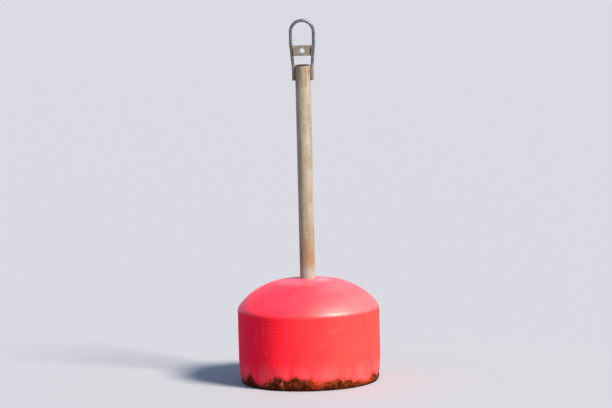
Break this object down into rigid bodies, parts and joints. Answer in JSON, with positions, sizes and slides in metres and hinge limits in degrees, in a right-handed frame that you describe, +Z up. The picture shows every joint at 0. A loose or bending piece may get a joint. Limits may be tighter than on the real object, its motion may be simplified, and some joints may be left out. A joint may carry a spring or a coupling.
{
  "type": "mooring buoy with through staff",
  "caption": "Round drum float with a domed top on a steel staff, with a hoop and a pierced cross plate above, a swivel and a shackle below.",
  "frame": {"origin": "on the staff's axis at the waterline", "axes": "+Z up along the staff; the hoop lies in the XZ plane and faces -Y"},
  "size_m": [0.4499, 0.45, 1.5523],
  "materials": {
    "float_skin": "faded, satin",
    "plug": "moulded",
    "staff_zinc": "weathered hot-dip zinc, rust stained",
    "hoop_zinc": "dull dark zinc",
    "rusty_plate": "rusted",
    "weld": "rusted",
    "tackle_zinc": "dull hot-dip zinc"
  },
  "bodies": {
    "buoy": {"float": "float_skin", "filler_plug": "plug", "staff_pipe": "staff_zinc", "hoop": "hoop_zinc", "cross_plate": "rusty_plate", "hoop_weld_left": "weld", "hoop_weld_right": "weld", "plate_welds": "weld", "swivel_bush": "tackle_zinc", "bush_weld": "weld"},
    "swivel": {"swivel_eye": "tackle_zinc", "swivel_washer": "tackle_zinc", "swivel_nut": "tackle_zinc"},
    "shackle": {"shackle_bow": "tackle_zinc", "shackle_pin": "tackle_zinc"}
  },
  "joints": [
    {"name": "swivel_spin", "type": "hinge", "parent": "buoy", "child": "swivel", "pos_m": [0, 0, -0.29726], "axis": [0, 0, 1], "continuous": true},
    {"name": "shackle_swing", "type": "hinge", "parent": "swivel", "child": "shackle", "pos_m": [0, 0, -0.33826], "axis": [0, 1, 0], "range_deg": [-120, 120]}
  ]
}
